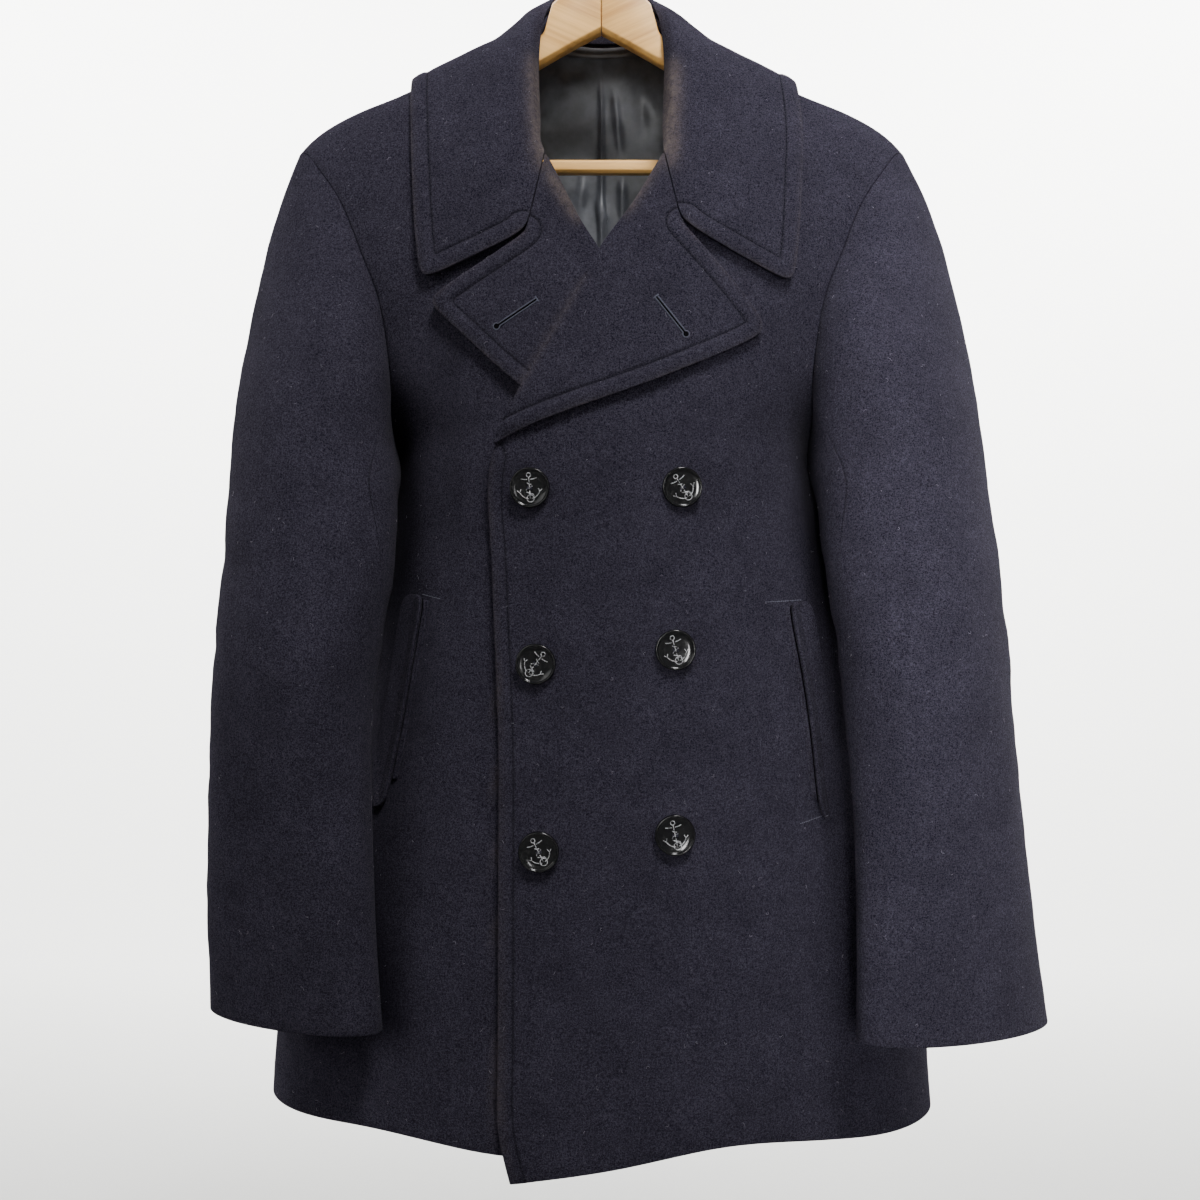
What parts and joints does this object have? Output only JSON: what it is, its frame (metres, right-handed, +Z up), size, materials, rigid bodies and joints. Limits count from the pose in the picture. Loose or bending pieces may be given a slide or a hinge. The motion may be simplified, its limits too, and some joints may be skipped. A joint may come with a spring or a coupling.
{
  "type": "pea coat on a wooden hanger",
  "caption": "Double-breasted wool pea coat with wide collar and lapels, slanted pockets and black buttons, hanging closed on a wooden hanger with a trouser bar.",
  "frame": {"origin": "the inside top of the hanger's hook, where it rests on its rail", "axes": "+Z up, +Y to the coat's back, +X to the right of a viewer who faces its front"},
  "size_m": [0.6053, 0.2123, 0.9466],
  "materials": {
    "melton_wool": "dark navy melton wool, matt with a short nap",
    "satin_lining": "black satin with a soft sheen",
    "black_button": "glossy black",
    "pale_wood": "clear-lacquered pale wood",
    "hook_steel": "polished wire"
  },
  "bodies": {
    "root": {"front_over": "melton_wool", "front_under": "melton_wool", "lapel_over": "melton_wool", "lapel_under": "melton_wool", "back_left": "melton_wool", "back_right": "melton_wool", "top_sleeve_left": "melton_wool", "top_sleeve_right": "melton_wool", "under_sleeve_left": "melton_wool", "under_sleeve_right": "melton_wool", "collar_fall": "melton_wool", "collar_stand": "melton_wool", "welt_left": "melton_wool", "welt_right": "melton_wool", "lining_back": "satin_lining", "hang_loop": "satin_lining", "button_1": "black_button", "button_2": "black_button", "button_3": "black_button", "button_4": "black_button", "button_5": "black_button", "button_6": "black_button", "hanger_arm_left": "pale_wood", "hanger_arm_right": "pale_wood", "hanger_bar": "pale_wood", "hanger_hook": "hook_steel"}
  },
  "joints": []
}
